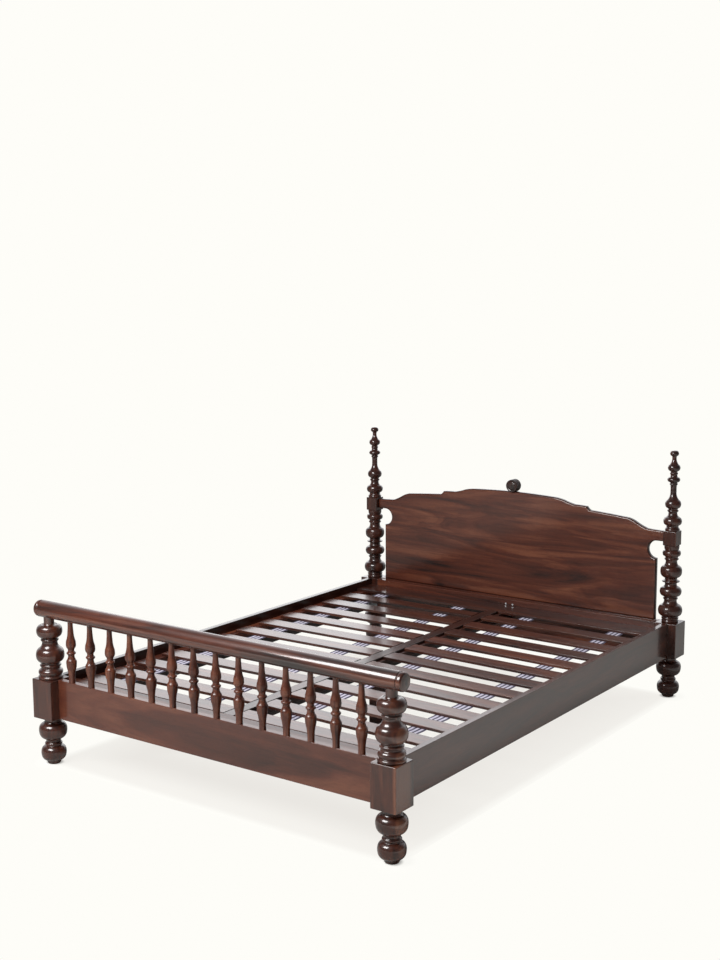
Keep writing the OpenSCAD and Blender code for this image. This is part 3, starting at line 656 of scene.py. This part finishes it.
def panel_outline(step):
    """The headboard's outline, counter-clockwise seen from the foot, as points of x and z. The
    right half is the same list of members as in the part's source, and the left half is its
    mirror image."""
    half = [[PANEL_SIDE, BOARD_TOP, 0], [PANEL_SIDE, TAB_TOP - TAB_H - 2 * NOTCH_R, -NOTCH_R],
            [PANEL_SIDE, TAB_TOP - TAB_H, 0], [PANEL_HALF, TAB_TOP - TAB_H, 0],
            [PANEL_HALF, TAB_TOP, 0], [0.886 * PANEL_HALF, TAB_TOP + 4, -1.5],
            [0.813 * PANEL_HALF, PANEL_TOP - 76, 3], [0.745 * PANEL_HALF, PANEL_TOP - 61.5, 0.5],
            [0.522 * PANEL_HALF, PANEL_TOP - 48.5, -1.5], [0.5 * PANEL_HALF, PANEL_TOP - 33, 0.8],
            [0.42 * PANEL_HALF, PANEL_TOP - 30, -1.5], [0.346 * PANEL_HALF, PANEL_TOP - 15, 1.8],
            [0.265 * PANEL_HALF, PANEL_TOP - 6, 1], [0, PANEL_TOP, 0]]
    right = outline(half, step)
    return np.concatenate([right, (right[:-1] * [-1, 1])[::-1]])


class BED_OT_headboard(bpy.types.Operator):
    """Adds the shaped headboard panel with its eased edges"""
    bl_idname = "bed.headboard"
    bl_label = "Headboard"

    def execute(self, context):
        verts, faces = eased_sheet(panel_outline(6.0), PANEL_T, sizes().panel_round / MM,
                                   sizes().panel_ease / MM)
        # Stood up, with the thickness from the foot side to the back. This swaps two of its
        # axes, so its faces are turned round.
        verts = np.c_[verts[:, 0], HEAD_Y - PANEL_T / 2 + verts[:, 2], verts[:, 1]]
        faces = [group[:, ::-1] for group in faces]
        wood = rosewood("sawn_rosewood_headboard", "X", tone(0.30, 0.50, 0.77, 0.80),
                        figure_mm=92, along=10, swirl=1.9, ring_mm=24, detail=3.5, drift=0.16,
                        oval=((0.174, 1.06, 0.628), (0.30, 0.4, 0.05), 0.06), face="Y",
                        edge=0.3, coat=0.9, coat_rough=0.16, rough=0.5, spec=0.2)
        piece("shaped_headboard", [(verts, faces)], wood, "panel_wood", "headboard_panel")
        return {"FINISHED"}


class BED_OT_crest(bpy.types.Operator):
    """Adds the ribbed drum on the headboard's top edge"""
    bl_idname = "bed.crest"
    bl_label = "Crest"

    def execute(self, context):
        rib, face_r = CREST_R - CREST_RIB, CREST_R - CREST_RIM
        points = [[0, 0, 0]] + [[rib, k * CREST_L / 4, CREST_RIB] for k in range(4)]
        points += [[rib, CREST_L, 0], [face_r, CREST_L, -DISH_DEEP],
                   [face_r - DISH_W, CREST_L, 0], [0, CREST_L, 0]]
        verts, faces = revolved(outline(points, 1.0))
        middle = PANEL_TOP + CREST_R - CREST_SINK
        # The turning's foot lies at the back and its face towards the foot of the bed
        verts = np.c_[verts[:, 0], HEAD_Y + CREST_L / 2 - verts[:, 2], verts[:, 1] + middle]
        wood = rosewood("turned_rosewood_crest", "Y", tone(0.36, 0.7, 1.0, 0.4),
                        figure_mm=20, along=6, streak=0.15, pith=(0.01, 0, 0.85),
                        coat_rough=0.12, sink=0.02)
        piece("turned_crest", [(verts, faces)], wood, "turned_wood", "headboard_crest")
        return {"FINISHED"}


# Brightness of each slat's wood, from the foot to the head
LEFT_TONES = [1.0, 1.1, 0.95, 1.0, 0.9, 1.1, 1.0, 0.95, 1.15, 0.9, 0.85, 0.7]
RIGHT_TONES = [1.05, 1.0, 1.1, 0.95, 1.05, 1.0, 0.6, 1.0, 1.25, 0.6, 1.05, 0.85]


class BED_OT_deck(bpy.types.Operator):
    """Gives each slat and cross board its own piece of rosewood"""
    bl_idname = "bed.deck"
    bl_label = "Deck"

    def execute(self, context):
        for side, tones in (("left", LEFT_TONES), ("right", RIGHT_TONES)):
            for i, bright in enumerate(tones, 1):
                seed = i + (20 if side == "right" else 0)
                wood = rosewood(f"sawn_rosewood_slat_{side}_{i:02d}", "X",
                                tone(0.30, 0.50, 0.78, 0.75 * bright),
                                figure_mm=38, swirl=1.4, ring_mm=10, streak=0.5,
                                pith=(0, 0.152 * (i - 6.5) + 0.05 * math.sin(seed), 0.24),
                                shift=(0.37 * seed, 0.11 * seed, 0.2 * seed), face="Z",
                                edge=0.6, coat_rough=0.18)
                paint([f"slat_{side}_{i:02d}"], wood)
        paint(["foot_cross_board"],
              rosewood("sawn_rosewood_foot_cross_board", "X", tone(0.30, 0.52, 0.82, 0.6),
                       figure_mm=40, along=12, pith=(0, -0.95, 0.2), coat=0.5,
                       coat_rough=0.2))
        paint(["head_cross_board"],
              rosewood("sawn_rosewood_head_cross_board", "X", tone(0.36, 0.6, 0.9, 0.65),
                       figure_mm=40, along=12, pith=(0, 0.95, 0.2), shift=(0.6, 0, 0.3),
                       coat_rough=0.15))
        return {"FINISHED"}


def strap(x):
    """One webbing strap under the slats. It runs along Y at the slats' underside, and between two
    slats it sags by the strap sag times the squared sine of 180 degrees times the share of the
    gap that is passed. The section is a thin rounded rectangle. Returned with each point's place
    across and along, for the stripes."""
    y = np.linspace(SLATS_FROM, SLATS_TO, 481)
    into = np.mod(y - SLATS_FROM, SLAT_PITCH)
    gap = np.clip((into - SLAT_W) / (SLAT_PITCH - SLAT_W), 0, 1)
    z = STRAP_TOP - sizes().strap_sag / MM * np.sin(np.pi * gap) ** 2
    half = STRAP_W / MM / 2
    flat = np.linspace(0.6 - half, half - 0.6, 27)
    lip = np.array([half - 0.2, half, half - 0.2])
    rise = np.array([0.2 - STRAP_T, -STRAP_T / 2, -0.2])
    u = np.concatenate([flat, lip, flat[::-1], -lip])
    w = np.concatenate([np.full(27, -STRAP_T), rise, np.zeros(27), rise[::-1]])
    m = len(u)
    verts = np.stack([np.broadcast_to(x + u, (len(y), m)), np.repeat(y[:, None], m, 1),
                      z[:, None] + w[None]], -1).reshape(-1, 3)
    # The section runs the other way round than a block's, so its faces are turned round
    faces = [walls(len(y), m)[:, [0, 3, 2, 1]], ends(len(y), m)[:, ::-1]]
    return (verts, faces), np.c_[np.tile(u + half, len(y)), verts[:, 1] - SLATS_FROM]


class BED_OT_webbing(bpy.types.Operator):
    """Adds the four striped webbing straps under the slats"""
    bl_idname = "bed.webbing"
    bl_label = "Webbing"

    def execute(self, context):
        cotton = striped_webbing()
        for name, x in (("outer_left", -STRAP_OUTER_X), ("inner_left", -STRAP_INNER_X),
                        ("inner_right", STRAP_INNER_X), ("outer_right", STRAP_OUTER_X)):
            shell, uv = strap(x)
            obj = piece(f"webbing_strap_{name}", [shell], cotton, "webbing", "webbing")
            layer = obj.data.uv_layers.new(name="strap")
            corners = np.zeros(len(obj.data.loops), int)
            obj.data.loops.foreach_get("vertex_index", corners)
            layer.data.foreach_set("uv", (uv[corners] * MM).ravel())
        return {"FINISHED"}


class BED_OT_fittings(bpy.types.Operator):
    """Gives the brackets and screws their zinc plate"""
    bl_idname = "bed.fittings"
    bl_label = "Fittings"

    def execute(self, context):
        paint(["steel_brackets", "screws"], zinc_plate())
        return {"FINISHED"}


# Stage

# The camera's place in metres, its turn in degrees (right of +Y, down, and round its own line
# of sight) and its lens in millimetres
CAMERA_AT = (3.2026, -4.5495, 1.8840)
YAW, PITCH, ROLL = -36.0125, 8.7822, -0.2933
LENS = 52.85
PAPER_WHITE = "#fefdf8"
SHADE_HALF = (0.795, 1.07, 0)  # half the width and length of the shade under the bed, in metres


def stand(obj, right, up, back, at):
    """Puts a camera or lamp at one point, with its own X, Y and Z along right, up and back."""
    bpy.context.scene.collection.objects.link(obj)
    obj.matrix_world = Matrix([*np.c_[right, up, back, at].tolist(), [0, 0, 0, 1]])


def set_camera():
    """The camera at the photograph's viewing angle. Its line of sight comes from yaw and pitch,
    and roll then turns it round that line."""
    yaw, pitch, roll = map(math.radians, (YAW, PITCH, ROLL))
    ahead = np.array([math.sin(yaw) * math.cos(pitch), math.cos(yaw) * math.cos(pitch),
                      -math.sin(pitch)])
    level = np.array([math.cos(yaw), -math.sin(yaw), 0.0])
    upright = np.cross(level, ahead)
    data = bpy.data.cameras.new("camera")
    data.lens = LENS
    camera = bpy.data.objects.new("camera", data)
    stand(camera, math.cos(roll) * level + math.sin(roll) * upright,
          math.cos(roll) * upright - math.sin(roll) * level, -ahead, CAMERA_AT)
    bpy.context.scene.camera = camera


def softbox(name, at, aim, size, power, gloss=True):
    """A rectangular lamp at one point that faces another. With gloss, the varnish mirrors it."""
    data = bpy.data.lights.new(name, "AREA")
    data.shape, data.size, data.size_y, data.energy = "RECTANGLE", size[0], size[1], power
    lamp = bpy.data.objects.new(name, data)
    lamp.visible_camera = False
    lamp.visible_glossy = gloss
    back = np.array(at, float) - np.array(aim, float)
    back /= np.linalg.norm(back)
    right = np.cross([0, 0, 1.0], back)
    right /= np.linalg.norm(right)
    stand(lamp, right, np.cross(back, right), back, at)


def add_world(context):
    """A pale backdrop behind the bed and a dim studio behind the camera. Camera rays see white,
    mirrored rays see white only towards the backdrop, and other rays get soft light."""
    world = bpy.data.worlds.new("pale_studio")
    context.scene.world = world
    world.use_nodes = True
    t = world.node_tree
    t.nodes.clear()
    out = add(t, "ShaderNodeOutputWorld")
    path = add(t, "ShaderNodeLightPath")
    coords = add(t, "ShaderNodeTexCoord")
    toward = add(t, "ShaderNodeVectorMath", {0: (coords, "Generated"), 1: (-0.5, 0.86, 0)},
                 operation="DOT_PRODUCT")
    backdrop = add(t, "ShaderNodeMapRange", {"Value": (toward, "Value"), "From Min": 0.3,
                                             "From Max": 0.8, "To Min": 0.12, "To Max": 1.0})
    mirrored = add(t, "ShaderNodeBackground", {"Color": rgba(linear("#f8f8fc")),
                                               "Strength": (backdrop, "Result")})
    shown = add(t, "ShaderNodeBackground", {"Color": rgba(linear(PAPER_WHITE)), "Strength": 1.0})
    light = add(t, "ShaderNodeBackground", {"Color": (1, 1, 1, 1), "Strength": 0.2})
    glossy = add(t, "ShaderNodeMath", {0: (path, "Is Glossy Ray"),
                                       1: (path, "Is Transmission Ray")}, operation="MAXIMUM")
    soft = add(t, "ShaderNodeMixShader", {0: (glossy, "Value"), 1: (light, 0),
                                          2: (mirrored, 0)})
    both = add(t, "ShaderNodeMixShader", {0: (path, "Is Camera Ray"), 1: (soft, 0),
                                          2: (shown, 0)})
    t.links.new(both.outputs[0], out.inputs["Surface"])


def floor_paper():
    """Pale seamless paper. Camera rays see it plain white round the bed and a painted shadow under
    it, greyer by the distance to the shade's outline, and mostly as matt paper close round the
    feet, where the real shadow shows. Mirrored rays see matt paper with painted shade: duller from
    0.7 m in front of the bed backwards, and brighter at its right side. Other rays see matt paper."""
    m, t, out = new_material("pale_floor_paper")
    coords = add(t, "ShaderNodeTexCoord")
    path = add(t, "ShaderNodeLightPath")
    tint = rgba(linear(PAPER_WHITE))
    folded = add(t, "ShaderNodeVectorMath", {0: (coords, "Object")}, operation="ABSOLUTE")
    beyond = add(t, "ShaderNodeVectorMath", {0: (folded, "Vector"), 1: SHADE_HALF},
                 operation="SUBTRACT")
    parts = add(t, "ShaderNodeSeparateXYZ", {"Vector": (beyond, "Vector")})
    outside = add(t, "ShaderNodeMath", {0: (parts, "X"), 1: (parts, "Y")}, operation="MAXIMUM")
    # Painted shadow under the bed, which camera rays see, by the distance to the shade's outline
    deep = add(t, "ShaderNodeMapRange",
               {"Value": (outside, "Value"), "From Min": -0.5, "From Max": -0.25,
                "To Min": 0.5, "To Max": 0.0}, interpolation_type="SMOOTHSTEP")
    edge = add(t, "ShaderNodeMapRange",
               {"Value": (outside, "Value"), "From Min": -0.22, "From Max": 0.0,
                "To Min": 0.0, "To Max": 0.42})
    inner = add(t, "ShaderNodeMath", {0: (deep, "Result"), 1: (edge, "Result")},
                operation="MAXIMUM")
    rim = add(t, "ShaderNodeMapRange",
              {"Value": (outside, "Value"), "From Min": -0.03, "From Max": 0.025},
              interpolation_type="SMOOTHSTEP")
    level = add(t, "ShaderNodeMix", {0: (rim, "Result"), 2: (inner, "Value"), 3: 1.0})
    shade = add(t, "ShaderNodeMix", {0: (level, 0), 6: rgba(linear("#eeebe6")), 7: tint},
                data_type="RGBA")
    foot = add(t, "ShaderNodeVectorMath",
               {0: (folded, "Vector"), 1: (POST_X * MM, HEAD_Y * MM, 0)}, operation="DISTANCE")
    near = add(t, "ShaderNodeMapRange",
               {"Value": (foot, "Value"), "From Min": 0.024, "From Max": 0.042,
                "To Min": 0.4, "To Max": 0.95}, interpolation_type="SMOOTHSTEP")
    part = add(t, "ShaderNodeMath", {0: (rim, "Result"), 1: (near, "Result")},
               operation="MAXIMUM")
    round_foot = add(t, "ShaderNodeMath", {0: (part, "Value"), 1: (near, "Result")},
                     operation="MINIMUM")
    clear = add(t, "ShaderNodeMapRange",
                {"Value": (foot, "Value"), "From Min": 0.05, "From Max": 0.09},
                interpolation_type="SMOOTHSTEP")
    plain = add(t, "ShaderNodeMix", {0: (clear, "Result"), 2: (round_foot, "Value"),
                                     3: (part, "Value")})
    place = add(t, "ShaderNodeSeparateXYZ", {"Vector": (coords, "Object")})
    # Painted shade on the paper that mirrored rays see, from 0.7 m in front of the bed backwards,
    # with less of it at the bed's right side
    lit = add(t, "ShaderNodeMapRange",
              {"Value": (place, "Y"), "From Min": -3.6, "From Max": -1.8,
               "To Min": 1.0, "To Max": 0.38}, interpolation_type="SMOOTHSTEP")
    beside = add(t, "ShaderNodeMapRange",
                 {"Value": (place, "X"), "From Min": 0.92, "From Max": 1.15,
                  "To Min": 0.0, "To Max": 0.88}, interpolation_type="SMOOTHSTEP")
    bright = add(t, "ShaderNodeMath", {0: (lit, "Result"), 1: (beside, "Result")},
                 operation="MAXIMUM")
    reflected_shade = add(t, "ShaderNodeMix", {0: (bright, "Value"), 6: (0, 0, 0, 1), 7: tint},
               data_type="RGBA")
    matt = add(t, "ShaderNodeBsdfDiffuse", {"Color": tint})
    glow = add(t, "ShaderNodeEmission", {"Color": (shade, 2), "Strength": 1.0})
    dim = add(t, "ShaderNodeBsdfDiffuse", {"Color": (reflected_shade, 2)})
    seen = add(t, "ShaderNodeMixShader", {0: (plain, 0), 1: (matt, 0), 2: (glow, 0)})
    first = add(t, "ShaderNodeMixShader", {0: (path, "Is Camera Ray"), 1: (matt, 0),
                                           2: (seen, 0)})
    both = add(t, "ShaderNodeMixShader", {0: (path, "Is Glossy Ray"), 1: (first, 0),
                                          2: (dim, 0)})
    t.links.new(both.outputs[0], out.inputs["Surface"])
    return m


class BED_OT_stage(bpy.types.Operator):
    """Adds the pale floor, the soft light and the camera"""
    bl_idname = "bed.stage"
    bl_label = "Stage"

    def execute(self, context):
        add_world(context)
        mesh = bpy.data.meshes.new("floor")
        s = 14.0  # half of the paper's side
        mesh.from_pydata([(-s, -s, 0), (s, -s, 0), (s, s, 0), (-s, s, 0)], [], [(0, 1, 2, 3)])
        mesh.materials.append(floor_paper())
        floor = bpy.data.objects.new("floor", mesh)
        context.scene.collection.objects.link(floor)
        softbox("key_softbox", at=(-0.6, -3.1, 2.7), aim=(0.1, -0.8, 0.4), size=(2.1, 1.5),
                power=190)
        softbox("back_softbox", at=(-2.9, 4.1, 1.9), aim=(0, 0, 0.4), size=(4.6, 2.4), power=29)
        softbox("top_softbox", at=(0.3, 0.2, 4.4), aim=(0, 0, 0.3), size=(3.2, 3.2), power=45,
                gloss=False)
        set_camera()
        context.scene.view_settings.view_transform = "Standard"
        return {"FINISHED"}


OPERATORS = (BED_OT_stage, BED_OT_posts, BED_OT_foot_rail, BED_OT_balusters,
             BED_OT_frame_boards, BED_OT_headboard, BED_OT_crest, BED_OT_deck, BED_OT_webbing,
             BED_OT_fittings)


class BED_PT_dressing(bpy.types.Panel):
    """Lists the bed's sizes, colours and pieces"""
    bl_idname = "BED_PT_dressing"
    bl_label = "Turned bed"
    bl_space_type = "VIEW_3D"
    bl_region_type = "UI"
    bl_category = "Bed"

    def draw(self, context):
        for group in (context.scene.bed_sizes, context.scene.bed_colours):
            box = self.layout.box()
            for name in group.bl_rna.properties.keys():
                if name not in ("rna_type", "name"):
                    box.prop(group, name)
        for op in OPERATORS:
            self.layout.operator(op.bl_idname)


CLASSES = (BedSizes, BedColours, *OPERATORS, BED_PT_dressing)


def register():
    for c in CLASSES:
        bpy.utils.register_class(c)
    bpy.types.Scene.bed_sizes = PointerProperty(type=BedSizes)
    bpy.types.Scene.bed_colours = PointerProperty(type=BedColours)


def unregister():
    del bpy.types.Scene.bed_colours
    del bpy.types.Scene.bed_sizes
    for c in reversed(CLASSES):
        bpy.utils.unregister_class(c)


def main():
    register()
    for op in OPERATORS:
        getattr(bpy.ops.bed, op.bl_idname.split(".")[1])()


if __name__ == "__main__":
    main()
